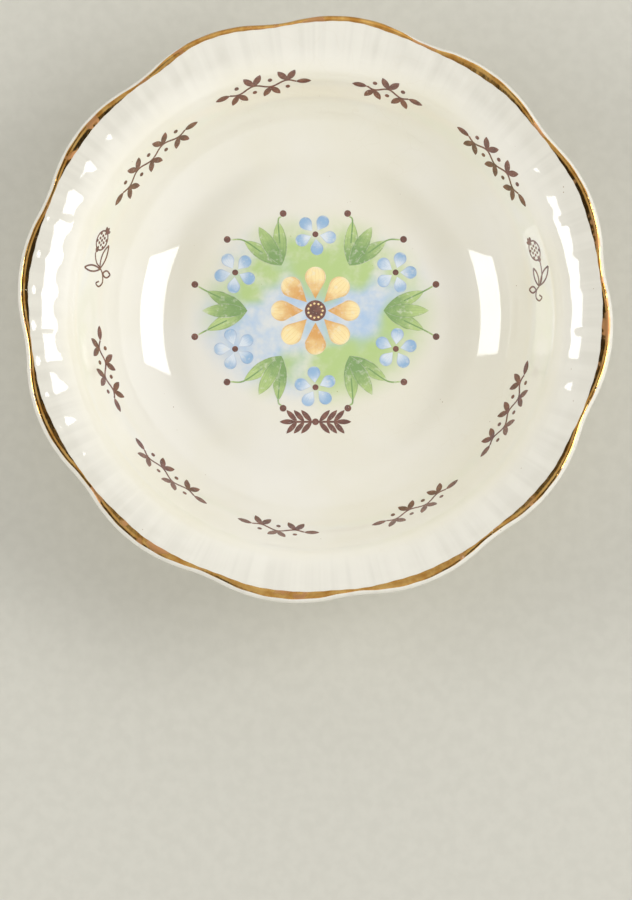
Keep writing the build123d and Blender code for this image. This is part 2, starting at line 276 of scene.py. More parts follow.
def glaze_shell(material):
    """The glaze: its fluted, scalloped outer skin, and a plainer inner face against the clay."""
    turns = lobe_count * flutes_per_lobe * steps_per_flute
    angle = np.linspace(0, 2 * pi, turns, endpoint=False)
    faces = []
    points = []
    first = 0
    ends = []
    skins = ((0.0, 2.0, 1.0, False), (shell_depth, 0.5, 0.5, True))
    for skin, inside_fineness, outside_fineness, flip in skins:
        inside = inside_section(angle, skin, inside_fineness)
        outside = outside_section(angle, skin, outside_fineness)
        radius = np.hstack([inside[0], outside[0]])
        height = np.hstack([inside[1], outside[1]])
        skin_points = round_points(angle, radius, height)
        columns = radius.shape[1]
        points.append(skin_points.reshape(-1, 3))
        faces.append(grid_faces(turns, columns, first, True, flip))
        middle = first + turns * columns
        points.append(np.array([[0, 0, floor_height - skin]]))
        start = first + np.arange(turns) * columns
        following = np.roll(start, -1)
        fan = np.stack([start, np.full(turns, middle), following], axis=-1)
        faces.append(fan[:, ::-1] if flip else fan)
        ends.append(start + columns - 1)
        first = middle + 1
    outer, inner = ends
    faces.append(np.stack([outer, np.roll(outer, -1), np.roll(inner, -1), inner], axis=-1))
    all_faces = [face for group in faces for face in group]
    return make_piece("glaze_skin", np.vstack(points), all_faces, material, "glaze", "glaze_coat")


# Node-building helpers
def link(tree, socket, value):
    """Sets a socket to a number, colour or vector, or links it to another socket."""
    if isinstance(value, bpy.types.NodeSocket):
        tree.links.new(value, socket)
    else:
        socket.default_value = value


def node(tree, kind, settings=None, **inputs):
    """A shader node with its settings and inputs; an input's name has _ for spaces."""
    made = tree.nodes.new(kind)
    for name, value in (settings or {}).items():
        setattr(made, name, value)
    for name, value in inputs.items():
        link(tree, made.inputs[name.replace("_", " ")], value)
    return made


def math_node(tree, operation, *values):
    """The result of a sum on numbers or sockets."""
    made = tree.nodes.new("ShaderNodeMath")
    made.operation = operation
    for socket, value in zip(made.inputs, values):
        link(tree, socket, value)
    return made.outputs[0]


def mix_colour(tree, factor, first, second):
    """The first colour at factor 0, the second at 1."""
    made = tree.nodes.new("ShaderNodeMix")
    made.data_type = "RGBA"
    # The node's first input is its factor, and its colours are inputs 6 and 7
    link(tree, made.inputs[0], factor)
    link(tree, made.inputs[6], first)
    link(tree, made.inputs[7], second)
    return made.outputs[2]


def spread(tree, value, low, high, to_low=0.0, to_high=1.0):
    """Maps a range of values to another, with smooth ends."""
    made = node(tree, "ShaderNodeMapRange", {"interpolation_type": "SMOOTHSTEP"})
    for socket, number in zip(made.inputs, (value, low, high, to_low, to_high)):
        link(tree, socket, number)
    return made.outputs[0]


def noise_texture(tree, scale, detail, roughness, vector):
    """A cloudy texture over the piece, or along another vector."""
    position = vector or node(tree, "ShaderNodeTexCoord").outputs["Object"]
    settings = {"Scale": scale, "Detail": detail, "Roughness": roughness}
    return node(tree, "ShaderNodeTexNoise", None, Vector=position, **settings)


def noise(tree, scale, detail=2.0, roughness=0.5, vector=None):
    """The values of a cloudy texture, from 0 to 1."""
    return noise_texture(tree, scale, detail, roughness, vector).outputs["Fac"]


def mark(tree, name):
    """A value that the mesh carries at its points."""
    return node(tree, "ShaderNodeAttribute", {"attribute_name": name}).outputs["Fac"]


def new_material(name):
    """A material with a single glossy shader, and its node tree."""
    material = bpy.data.materials.new(name)
    material.use_nodes = True
    tree = material.node_tree
    return material, tree, tree.nodes["Principled BSDF"]


def roughen(tree, shader, strength, depth, height):
    """A fine unevenness of the surface that follows a height texture."""
    bump = node(tree, "ShaderNodeBump", None, Strength=strength, Distance=depth, Height=height)
    link(tree, shader.inputs["Normal"], bump.outputs["Normal"])


def colour(red, green, blue):
    """A colour given as the screen shows it, from 0 to 255."""
    screen = [red / 255, green / 255, blue / 255]
    linear = [c / 12.92 if c <= 0.04045 else ((c + 0.055) / 1.055) ** 2.4 for c in screen]
    return (*linear, 1.0)


# Colours, fitted to the photograph
cream = colour(235, 232, 221)
cream_deep = colour(231, 227, 210)
# Painted shade: a darker glaze colour over the rim, standing in for the rim's dimmer light
rim_painted_shade = colour(225, 222, 210)
# Painted shade: darker streaks across the rim that stand in for the flutes' shading
streak_painted_shade = colour(219, 216, 204)
speck_brown = colour(150, 120, 86)
craze_brown = colour(205, 192, 160)
clay = colour(226, 214, 190)
clay_grain = colour(212, 198, 170)
clay_stain = colour(168, 148, 118)
gold_pale = colour(222, 178, 104)
gold_deep = colour(192, 136, 62)
gold_dull = colour(200, 146, 102)
ink_brown = colour(102, 66, 56)
ink_rust = colour(134, 88, 72)
wash_blue = colour(168, 196, 226)
wash_green = colour(178, 204, 128)
floor_colour = colour(203, 201, 190)
floor_grain = colour(199, 197, 186)

# Paints of the picture: a petal's or leaf's root, tip, pooled edge and veins
yellow_paint = (colour(220, 164, 92), colour(249, 228, 168), colour(206, 150, 88), colour(226, 180, 112))
blue_paint = (colour(220, 229, 237), colour(146, 181, 214), colour(118, 148, 192), colour(152, 176, 208))
green_paint = (colour(128, 162, 98), colour(186, 208, 134), colour(110, 140, 84), colour(120, 150, 90))
petal_veins = 9.0  # ripples from the middle line to the edge, in radians
leaf_veins = 6.0

# Finish of the glaze; a texture's scale is its cells to a metre
rim_shade_from = 31.5 * mm  # height at which the painted shade on the upward rim starts
rim_shade_to = 36.5 * mm
drift_scale = 28
shade_streak_scale = 26.0  # of the painted streaks of shade across the rim, on a circle of radius 1
speck_scale = 420.0
speck_patch_scale = 310
craze_scale = 150.0
craze_bend_scale = 160
craze_bend = 4 * mm
craze_patch_scale = 22
craze_strength = 0.08
glaze_roughness = 0.035
roughness_range = 0.03
gloss_scale = 60
ripple_scale = 180
ripple_strength = 0.035
ripple_depth = 0.4 * mm
glaze_index = 1.7  # index of refraction, above that of plain glass

# Finish of clay, gold, prints and paper
clay_grain_scale = 900
clay_stain_scale = 70
clay_stain_strength = 0.35
clay_roughness = 0.85
clay_bump = 0.5
clay_bump_depth = 0.2 * mm
gold_tone_scale = 240
gold_wear_scale = 520
gold_dull_scale = 110
gold_gloss = 0.07  # roughness where the gold is pale
gold_deep_gloss = 0.14  # and where it is deep
gold_dull_strength = 0.8
gold_dull_roughness = 0.3  # added in the dull patches
gold_brush_scale = 420
gold_brush_strength = 0.45
gold_brush_depth = 0.2 * mm
ink_uneven_scale = 700
ink_pale_scale = 2600
ink_pale_strength = 0.3
ink_roughness = 0.06
paint_mottle_scale = 330
paint_mottling = 0.9  # how far the mottling shifts the wash from root to tip
paint_shading = 0.5  # how far a petal's or leaf's own shade shifts it
paint_vein_strength = 0.45
paint_pool_strength = 0.55
paint_thin_scale = 900
paint_thin_strength = 0.4
paint_dry_strength = 0.75
paint_roughness = 0.05
wash_cloud_scale = 85
wash_hue_scale = 46
wash_thinnest = 0.25
wash_strongest = 0.95
paper_scale = 300
paper_roughness = 0.9


def glaze_colour(tree):
    """Cream glaze: drifts of tone, painted shade over the rim with fainter painted streaks of shade down
    it, kiln specks, and crazing in patches.
    """
    drift = spread(tree, noise(tree, drift_scale, 3), 0.35, 0.7)
    base = mix_colour(tree, drift, cream, cream_deep)
    position = node(tree, "ShaderNodeTexCoord").outputs["Object"]
    place = node(tree, "ShaderNodeSeparateXYZ", None, Vector=position).outputs
    plan = node(tree, "ShaderNodeCombineXYZ", None, X=place["X"], Y=place["Y"])
    outward = node(tree, "ShaderNodeVectorMath", {"operation": "NORMALIZE"}, Vector=plan.outputs[0])
    # Painted streaks of shade that run outward across the rim, for the flutes' shading
    shade_streak = spread(tree, noise(tree, shade_streak_scale, vector=outward.outputs[0]), 0.38, 0.64)
    painted_rim_shade = mix_colour(tree, shade_streak, rim_painted_shade, streak_painted_shade)
    # Painted shade: above this height the rim takes the darker colour
    base = mix_colour(tree, spread(tree, place["Z"], rim_shade_from, rim_shade_to), base, painted_rim_shade)
    specks = node(tree, "ShaderNodeTexVoronoi", None, Vector=position, Scale=speck_scale)
    small = spread(tree, specks.outputs["Distance"], 0.04, 0.07, 1.0, 0.0)
    rare = spread(tree, noise(tree, speck_patch_scale, 0), 0.68, 0.72)
    base = mix_colour(tree, math_node(tree, "MULTIPLY", small, rare), base, speck_brown)
    bend = noise_texture(tree, craze_bend_scale, 2.0, 0.5, None).outputs["Color"]
    bent = node(tree, "ShaderNodeVectorMath", {"operation": "SCALE"}, Vector=bend, Scale=craze_bend)
    shifted = node(tree, "ShaderNodeVectorMath", {"operation": "ADD"})
    link(tree, shifted.inputs[0], position)
    link(tree, shifted.inputs[1], bent.outputs[0])
    to_edge = {"feature": "DISTANCE_TO_EDGE"}
    cracks = node(tree, "ShaderNodeTexVoronoi", to_edge, Vector=shifted.outputs[0], Scale=craze_scale)
    line = spread(tree, cracks.outputs["Distance"], 0.004, 0.016, 1.0, 0.0)
    patch = spread(tree, noise(tree, craze_patch_scale, 1), 0.52, 0.7, 0.0, craze_strength)
    return mix_colour(tree, math_node(tree, "MULTIPLY", line, patch), base, craze_brown)


def glaze_gloss(tree, shader, roughness=glaze_roughness):
    """Gloss of fired glass, with the faint unevenness of a dipped coat."""
    uneven = noise(tree, gloss_scale)
    dullness = spread(tree, uneven, 0.3, 0.8, roughness, roughness + roughness_range)
    link(tree, shader.inputs["Roughness"], dullness)
    roughen(tree, shader, ripple_strength, ripple_depth, noise(tree, ripple_scale))
    shader.inputs["IOR"].default_value = glaze_index


def glaze_material():
    """The plain glaze of the dish."""
    material, tree, shader = new_material("cream_glaze")
    link(tree, shader.inputs["Base Color"], glaze_colour(tree))
    glaze_gloss(tree, shader)
    return material


def clay_material():
    """Bare fired clay of the foot: matt, grainy, a little stained."""
    material, tree, shader = new_material("bare_clay")
    grain = noise(tree, clay_grain_scale, 4, 0.7)
    stain = spread(tree, noise(tree, clay_stain_scale, 3), 0.4, 0.75, 0.0, clay_stain_strength)
    base = mix_colour(tree, spread(tree, grain, 0.3, 0.7), clay, clay_grain)
    link(tree, shader.inputs["Base Color"], mix_colour(tree, stain, base, clay_stain))
    shader.inputs["Roughness"].default_value = clay_roughness
    roughen(tree, shader, clay_bump, clay_bump_depth, grain)
    return material


def gilt_material():
    """Burnished gold, brushed on by hand: changing tones, dull patches and small worn places."""
    material, tree, shader = new_material("rim_gold")
    tone = spread(tree, noise(tree, gold_tone_scale, 3, 0.6), 0.35, 0.7)
    worn = spread(tree, noise(tree, gold_wear_scale, 4, 0.7), 0.68, 0.75)
    dull = spread(tree, noise(tree, gold_dull_scale, 3, 0.6), 0.55, 0.63)
    gold = mix_colour(tree, tone, gold_pale, gold_deep)
    gold = mix_colour(tree, math_node(tree, "MULTIPLY", dull, gold_dull_strength), gold, gold_dull)
    link(tree, shader.inputs["Base Color"], mix_colour(tree, worn, gold, cream_deep))
    link(tree, shader.inputs["Metallic"], math_node(tree, "SUBTRACT", 1.0, worn))
    gloss = spread(tree, tone, 0.0, 1.0, gold_gloss, gold_deep_gloss)
    roughness = math_node(tree, "MULTIPLY_ADD", dull, gold_dull_roughness, gloss)
    link(tree, shader.inputs["Roughness"], roughness)
    roughen(tree, shader, gold_brush_strength, gold_brush_depth, noise(tree, gold_brush_scale, 3))
    return material


def ink_material():
    """Brown transfer print: slightly uneven ink, as a screen lays it down."""
    material, tree, shader = new_material("brown_ink")
    uneven = spread(tree, noise(tree, ink_uneven_scale, 3, 0.7), 0.35, 0.75)
    base = mix_colour(tree, uneven, ink_brown, ink_rust)
    pale = spread(tree, noise(tree, ink_pale_scale, 1), 0.62, 0.8, 0.0, ink_pale_strength)
    link(tree, shader.inputs["Base Color"], mix_colour(tree, pale, base, cream_deep))
    glaze_gloss(tree, shader, ink_roughness)
    return material


def paint_material(name, root, tip, edge, vein, veins):
    """Painted petals or leaves: a wash from root to tip, a pooled edge, fine veins and dry ragged ends."""
    material, tree, shader = new_material(name)
    along = mark(tree, "along")
    across = math_node(tree, "ABSOLUTE", mark(tree, "across"))
    shade = mark(tree, "shade")
    mottle = noise(tree, paint_mottle_scale, 4, 0.6)
    wash = math_node(tree, "MULTIPLY_ADD", math_node(tree, "SUBTRACT", mottle, 0.5), paint_mottling, along)
    wash = math_node(tree, "MULTIPLY_ADD", math_node(tree, "SUBTRACT", shade, 0.5), paint_shading, wash)
    base = mix_colour(tree, spread(tree, wash, 0.1, 0.95), root, tip)
    ribs = math_node(tree, "SINE", math_node(tree, "MULTIPLY", mark(tree, "across"), veins))
    ribs = spread(tree, math_node(tree, "ABSOLUTE", ribs), 0.0, 0.28, paint_vein_strength, 0.0)
    base = mix_colour(tree, ribs, base, vein)
    pooled = spread(tree, across, 0.72, 1.0, 0.0, paint_pool_strength)
    base = mix_colour(tree, pooled, base, edge)
    thin = spread(tree, noise(tree, paint_thin_scale), 0.52, 0.8, 0.0, paint_thin_strength)
    ragged = math_node(tree, "MULTIPLY_ADD", mottle, 0.5, math_node(tree, "MAXIMUM", across, along))
    dry = spread(tree, ragged, 1.12, 1.36, 0.0, paint_dry_strength)
    bare = math_node(tree, "MAXIMUM", thin, dry)
    link(tree, shader.inputs["Base Color"], mix_colour(tree, bare, base, cream))
    glaze_gloss(tree, shader, paint_roughness)
    return material


def wash_material():
    """A soft tint round the flowers that fades out into the glaze."""
    material, tree, shader = new_material("soft_wash")
    base = glaze_colour(tree)
    fade = spread(tree, mark(tree, "along"), 0.58, 0.98, 1.0, 0.0)
    cloud = noise(tree, wash_cloud_scale, 4, 0.6)
    hue = spread(tree, noise(tree, wash_hue_scale), 0.42, 0.58)
    tint = mix_colour(tree, hue, wash_blue, wash_green)
    strength = spread(tree, cloud, 0.32, 0.6, wash_thinnest, wash_strongest)
    amount = math_node(tree, "MULTIPLY", fade, strength)
    link(tree, shader.inputs["Base Color"], mix_colour(tree, amount, base, tint))
    glaze_gloss(tree, shader)
    return material


# Printed patches, each a grid of points: X and Y, and its marks along and across
class Prints:
    """Thin printed patches on the glaze, gathered into one closed mesh piece."""

    def __init__(self, place, lift=film_lift):
        self.place = place
        self.lift = lift
        self.points = []
        self.faces = []
        self.marks = {"along": [], "across": [], "shade": []}
        self.first = 0
        self.layers = 0

    def add(self, patch, shade=0.5):
        """Lays one patch over those before it."""
        x, y, along, across = patch
        rows, columns = x.shape
        position, normal = self.place(x, y)
        lift = self.lift + film_step * self.layers
        for offset in (lift, -film_sink):
            self.points.append((position + normal * offset).reshape(-1, 3))
            self.marks["along"].append(along.ravel())
            self.marks["across"].append(across.ravel())
            self.marks["shade"].append(np.full(rows * columns, shade))
        under = self.first + rows * columns
        self.faces.extend(grid_faces(rows, columns, self.first, False, True))
        self.faces.extend(grid_faces(rows, columns, under, False))
        index = np.arange(rows * columns).reshape(rows, columns)
        rim = np.concatenate([index[0, :-1], index[:-1, -1], index[-1, :0:-1], index[:0:-1, 0]])
        top = self.first + rim
        bottom = under + rim
        self.faces.extend(np.stack([top, np.roll(top, -1), np.roll(bottom, -1), bottom], axis=-1))
        self.first = under + rows * columns
        self.layers += 1

    def piece(self, name, material, slot, *nodes):
        """Makes the patches into a piece that stands for CAD nodes."""
        marks = {mark_name: np.concatenate(values) for mark_name, values in self.marks.items()}
        return make_piece(name, np.vstack(self.points), self.faces, material, slot, *nodes, marks=marks)


def on_well(x, y):
    """Places and normals of plan points in the well."""
    radius = np.hypot(x, y)
    climb = well_arc * np.arcsin(np.clip((radius - well_radius) / well_arc, 0, 1))
    _, height, slope = wall_at(climb)
    unit_x = x / np.maximum(radius, tiny)
    unit_y = y / np.maximum(radius, tiny)
    position = np.stack([x, y, height], axis=-1)
    normal = np.stack([-unit_x * np.sin(slope), -unit_y * np.sin(slope), np.cos(slope)], axis=-1)
    return position, normal


def on_wall(angle, climb):
    """A function that places points on the wall: X clockwise round the dish, Y up the wall."""
    ring = float(wall_at(climb)[0])

    def place(x, y):
        turn = radians(angle) - x / ring
        radius, height, slope = wall_at(climb + y)
        outward_x = np.cos(turn)
        outward_y = np.sin(turn)
        position = np.stack([radius * outward_x, radius * outward_y, height], axis=-1)
        normal = np.stack([-outward_x * np.sin(slope), -outward_y * np.sin(slope), np.cos(slope)], axis=-1)
        return position, normal

    return place


def blade(length, half_width, rows=14, columns=5):
    """A patch along +X from the origin whose half width is a function of X."""
    share = 0.5 - 0.5 * np.cos(np.linspace(0, pi, rows))
    across = np.linspace(-1, 1, columns)
    x = share * length
    half = np.maximum(half_width(x), point_half_width)
    return (
        np.repeat(x[:, None], columns, 1),
        half[:, None] * across[None],
        np.repeat(share[:, None], columns, 1),
        np.repeat(across[None], rows, 0),
    )


def leaf(length, width, rows=14, columns=5):
    """Two arcs that meet in points."""
    arc = (length**2 + width**2) / (4 * width)
    drop = arc - width / 2
    return blade(length, lambda x: np.sqrt(arc**2 - (x - length / 2) ** 2) - drop, rows, columns)


def petal(length, end_round, rows=18, columns=9):
    """Straight sides from a point to a round outer end."""
    centre = length - end_round
    lean = asin(end_round / centre)
    touch = centre * cos(lean) ** 2

    def half_width(x):
        rounded = np.sqrt(np.maximum(end_round**2 - (x - centre) ** 2, 0))
        return np.where(x < touch, x * tan(lean), rounded)

    return blade(length, half_width, rows, columns)


def dot(radius, rows=10, columns=5):
    """A filled circle round the origin."""

    def half_width(x):
        return np.sqrt(np.maximum(radius**2 - (x - radius) ** 2, 0))

    x, y, along, across = blade(2 * radius, half_width, rows, columns)
    return x - radius, y, along, across


def oval(half_x, half_y, steps=72):
    """A filled ellipse, pressed from a square grid; its first mark runs from the middle to the edge."""
    u, v = np.meshgrid(np.linspace(-1, 1, steps), np.linspace(-1, 1, steps))
    x = u * np.sqrt(1 - v**2 / 2)
    y = v * np.sqrt(1 - u**2 / 2)
    return half_x * x, half_y * y, np.hypot(x, y), y


def moved(patch, x=0.0, y=0.0, turn=0.0):
    """A patch turned by an angle in degrees and then moved."""
    px, py, along, across = patch
    c = cos(radians(turn))
    s = sin(radians(turn))
    return px * c - py * s + x, px * s + py * c + y, along, across


def ribbon(line, width, columns=3):
    """A patch along a line of points, with its width at each point."""
    line = np.asarray(line, float)
    heading = np.gradient(line, axis=0)
    heading /= np.linalg.norm(heading, axis=1)[:, None]
    across = np.linspace(-1, 1, columns)
    half = np.broadcast_to(np.asarray(width, float) / 2, len(line))[:, None] * across
    x = line[:, :1] - heading[:, 1:] * half
    y = line[:, 1:] + heading[:, :1] * half
    share = np.linspace(0, 1, len(line))
    return x, y, np.repeat(share[:, None], columns, 1), np.repeat(across[None], len(line), 0)


def curve(points, steps=10):
    """A smooth line through points."""
    points = np.asarray(points, float)
    padded = np.vstack([2 * points[0] - points[1], points, 2 * points[-1] - points[-2]])
    share = np.linspace(0, 1, steps, endpoint=False)[:, None]
    line = []
    for before, start, end, after in zip(padded, padded[1:], padded[2:], padded[3:]):
        bend = 2 * before - 5 * start + 4 * end - after
        twist = 3 * (start - end) + after - before
        line.append(start + 0.5 * share * (end - before + share * (bend + share * twist)))
    return np.vstack([*line, points[-1:]])


# Border of leafy scrolls: middle and span of each in degrees, and its middle's distance up the wall
border = (
    (40, 26, 41.6 * mm),
    (72, 18, 41.6 * mm),
    (103, 24, 41.6 * mm),
    (136, 30, 37.8 * mm),
    (194, 24, 31.6 * mm),
    (227, 26, 31.6 * mm),
    (260, 22, 31.6 * mm),
    (298, 26, 31.6 * mm),
    (334, 29, 31.6 * mm),
)
left_sprig_angle = 165.0
right_sprig_angle = 11.0
sprig_climb = 36.5 * mm
scroll_pitch = 4.4 * mm
scroll_rise = 0.8 * mm
stem_width = 0.55 * mm
leaf_length = 4.0 * mm
leaf_width = 1.8 * mm
leaf_spread = 34.0
berry_radius = 0.6 * mm
berry_rise = 1.7 * mm

# Sprigs: points of each stem in mm, from bud to curled end, and each leaf's root, angle, length and width
line_width = 0.45 * mm
bud_length = 5.8 * mm
bud_width = 5.2 * mm
seed_radius = 0.4 * mm
seed_pitch = 1.1 * mm
seed_field = 0.78  # part of the bud that the seeds fill
seed_reach = 2  # most seeds from the bud's middle out to its side
crown_leaf_length = 1.7 * mm
crown_leaf_width = 1.0 * mm
crown_spread = 45.0
collar_radius = 0.7 * mm
left_stem = (
    (2.0, 0.9),
    (0.6, 1.0),
    (-1.2, -0.6),
    (-2.0, -2.6),
    (-3.4, -4.3),
    (-5.6, -4.9),
    (-7.0, -3.6),
    (-6.4, -2.2),
    (-5.6, -3.4),
)
left_bud_angle = -16.0
left_leaves = ((-2.4, -2.8, 100, 7.5, 1.6), (-2.2, -2.7, -7, 6.8, 1.9), (-3.2, -4.3, -82, 3.0, 1.9))
right_stem = (
    (3.0, 2.2),
    (1.5, 2.2),
    (-0.6, 1.9),
    (-2.4, 1.1),
    (-3.5, -0.4),
    (-4.4, -2.0),
    (-6.2, -2.5),
    (-7.3, -1.2),
    (-6.7, 0.3),
    (-5.8, -0.9),
)
right_bud_angle = -21.0
right_leaves = ((-3.4, 0.0, 56, 6.7, 2.0), (-3.4, -0.6, -11, 5.1, 1.8), (-4.2, -2.1, -76, 3.0, 1.7))


def vine(prints, span, climb):
    """A leafy scroll along the ring."""
    length = float(wall_at(climb)[0]) * radians(span) - 2 * leaf_length
    bends = round(length / scroll_pitch)
    pitch = length / bends
    x = np.linspace(-length / 2, length / 2, bends * scroll_steps + 1)
    wave = np.abs(np.sin((x + length / 2) / pitch * pi)) * scroll_rise
    side = np.where(np.floor((x + length / 2) / pitch + tiny) % 2, 1, -1)
    prints.add(ribbon(np.stack([x, wave * side], axis=-1), stem_width))
    for bend in range(bends):
        up = 1 if bend % 2 else -1
        middle = -length / 2 + pitch * (bend + 0.5)
        for lean in (-leaf_spread, leaf_spread):
            prints.add(moved(leaf(leaf_length, leaf_width), middle, up * scroll_rise, up * 90 + lean))
        prints.add(moved(dot(berry_radius), middle, -up * berry_rise))
    prints.add(moved(leaf(leaf_length, leaf_width), length / 2, 0, 0))
    prints.add(moved(leaf(leaf_length, leaf_width), -length / 2, 0, 180))


def leaf_edges(length, width):
    """The two curved edges of a leaf along +X."""
    share = np.linspace(0, 1, leaf_edge_steps)
    bulge = 2 * width * share * (1 - share)
    return [np.stack([share * length, side * bulge], axis=-1) for side in (-1, 1)]


def sprig(prints, stem, bud_angle, leaves, way):
    """A seeded bud on a curling stem with open leaves; way is 1, or -1 for its mirror image."""

    def put(patch, x=0.0, y=0.0, turn=0.0):
        px, py, along, across = moved(patch, x, y, turn)
        prints.add((px, py, along, across) if way > 0 else (-px[:, ::-1], py[:, ::-1], along, across))

    stem = np.array(stem) * mm
    put(ribbon(curve(stem), line_width))
    heading = np.array([cos(radians(bud_angle)), sin(radians(bud_angle))])
    middle = stem[0] + heading * bud_length / 2
    half_length = (bud_length - line_width) / 2
    half_width = (bud_width - line_width) / 2
    turn = np.linspace(0, 2 * pi, bud_steps)
    rim = np.stack([half_length * np.cos(turn), half_width * np.sin(turn)], axis=-1)
    put(ribbon(rim, line_width), *middle, bud_angle)
    put(dot(collar_radius), *stem[0])
    for column in range(-seed_reach, seed_reach + 1):
        for row in range(-seed_reach, seed_reach + 1):
            x = seed_pitch * column
            y = seed_pitch * (row + column % 2 / 2)
            if np.hypot(2 * x / bud_length, 2 * y / bud_width) < seed_field:
                put(moved(dot(seed_radius, rows=8), x, y), *middle, bud_angle)
    tip = stem[0] + heading * (bud_length - line_width)
    for lean in (-crown_spread, 0, crown_spread):
        put(leaf(crown_leaf_length, crown_leaf_width), *tip, bud_angle + lean)
    for x, y, angle, length, width in leaves:
        for edge in leaf_edges(length * mm, width * mm):
            put(ribbon(edge, line_width), x * mm, y * mm, angle)


# Floral picture in the well
picture_y = 4.3 * mm
bud_ring = (33.0 * mm, 27.0 * mm)  # half width and half height of the ellipse that the buds lie on
blossom_ring = (24.5 * mm, 20.5 * mm)
spray_ring = (18.0 * mm, 14.0 * mm)
blossom_count = 6
yellow_petal_count = 8
yellow_petal_length = 8.6 * mm
yellow_petal_round = 2.8 * mm
yellow_eye_radius = 2.8 * mm
blue_petal_count = 5
blue_petal_length = 4.4 * mm
blue_petal_round = 1.7 * mm
blue_eye_radius = 0.8 * mm
spray_leaf_length = 12.0 * mm
spray_leaf_width = 3.8 * mm
spray_spread = 26.0
bud_radius = 0.9 * mm
stalk_width = 0.4 * mm
stamen_count = 11
stamen_ring = 1.9 * mm
stamen_radius = 0.3 * mm
print_gap = 0.4 * mm
lower_spray_y = -25.4 * mm
lower_spray_length = 20.0 * mm
lower_spray_pairs = 3
lower_leaf_length = 4.2 * mm
lower_leaf_width = 1.35 * mm
lower_leaf_spread = 48.0
lower_berry_radius = 0.9 * mm
wash_size = (35.5 * mm, 29.0 * mm)  # half width and half height
shade_seed = 7  # start of the random draws that shade petals and leaves


def on_ellipse(sizes, angle):
    """A place on an ellipse round the picture's middle."""
    return sizes[0] * cos(radians(angle)), picture_y + sizes[1] * sin(radians(angle))


def blossom(prints, chance, count, one, x, y, turn):
    """Copies of one petal round a place, each with its own shade."""
    for number in range(count):
        prints.add(moved(one, x, y, turn + 360 / count * number), chance.uniform(0, 1))


def picture(ink):
    """Flowers and leaves in four colours on a soft wash."""
    chance = np.random.default_rng(shade_seed)
    yellow = Prints(on_well)
    blue = Prints(on_well)
    green = Prints(on_well)
    brown = Prints(on_well)
    yellow_petal = moved(petal(yellow_petal_length, yellow_petal_round), yellow_eye_radius + print_gap)
    blue_petal = moved(petal(blue_petal_length, blue_petal_round), blue_eye_radius + print_gap)
    blossom(yellow, chance, yellow_petal_count, yellow_petal, 0, picture_y, 0)
    brown.add(moved(dot(yellow_eye_radius, rows=18, columns=11), 0, picture_y))
    for number in range(stamen_count):
        stamen = moved(dot(stamen_radius), stamen_ring)
        yellow.add(moved(stamen, 0, picture_y, 360 / stamen_count * number), 1)
    step = 360 / blossom_count
    for number in range(blossom_count):
        spray_angle = step * number
        x, y = on_ellipse(blossom_ring, spray_angle + step / 2)
        blossom(blue, chance, blue_petal_count, blue_petal, x, y, spray_angle)
        brown.add(moved(dot(blue_eye_radius), x, y))
        x, y = on_ellipse(spray_ring, spray_angle)
        root = np.array([x, y])
        for lean in (-spray_spread, spray_spread, 0):
            one = leaf(spray_leaf_length, spray_leaf_width, rows=18, columns=9)
            green.add(moved(one, x, y, spray_angle + lean), chance.uniform(0, 1))
        for side in (-1, 1):
            bud = np.array(on_ellipse(bud_ring, spray_angle + side * step / 4))
            heading = radians(spray_angle + side * spray_spread)
            leaf_tip = root + spray_leaf_length * np.array([cos(heading), sin(heading)])
            stalk_end = bud + (leaf_tip - bud) * bud_radius / np.linalg.norm(leaf_tip - bud)
            green.add(ribbon(curve([(root + leaf_tip) / 2, leaf_tip, stalk_end]), stalk_width), 0)
            brown.add(moved(dot(bud_radius), *bud))
    wash = Prints(on_well, wash_lift)
    wash.add(moved(oval(*wash_size), 0, picture_y))
    yellow_look = paint_material("yellow_paint", *yellow_paint, petal_veins)
    blue_look = paint_material("blue_paint", *blue_paint, petal_veins)
    green_look = paint_material("green_paint", *green_paint, leaf_veins)
    yellow.piece("yellow_blossom", yellow_look, "yellow_print", "medallion_yellow_print")
    blue.piece("blue_blossoms", blue_look, "blue_print", "medallion_blue_print")
    green.piece("leaf_sprays", green_look, "green_print", "medallion_leaf_print")
    wash.piece("soft_wash", wash_material(), "green_print", "medallion_leaf_print")
    brown.piece("flower_eyes_and_buds", ink, "brown_print", "medallion_brown_print")


def lower_spray(prints):
    """A level stem with pairs of leaves that point away from a berry in its middle."""
    half = lower_spray_length / 2 - lower_leaf_length
    pitch = half / lower_spray_pairs
    stem_x = np.linspace(-half, half, lower_stem_steps)
    stem = np.stack([stem_x, np.full_like(stem_x, lower_spray_y)], axis=-1)
    prints.add(ribbon(stem, stem_width))
    prints.add(moved(dot(lower_berry_radius), 0, lower_spray_y))
    for side, turn in ((1, 0), (-1, 180)):
        root = side * (half - stem_width)
        prints.add(moved(leaf(lower_leaf_length, lower_leaf_width), root, lower_spray_y, turn))
        for number in range(1, lower_spray_pairs + 1):
            for lean in (-lower_leaf_spread, lower_leaf_spread):
                one = leaf(lower_leaf_length, lower_leaf_width)
                prints.add(moved(one, side * pitch * (number - 0.5), lower_spray_y, turn + lean))


def waver(angle, waves):
    """The unsteadiness of an edge painted by hand, as a sum of waves round the rim."""
    return sum(height * np.sin(count * angle + start) for height, count, start in waves)


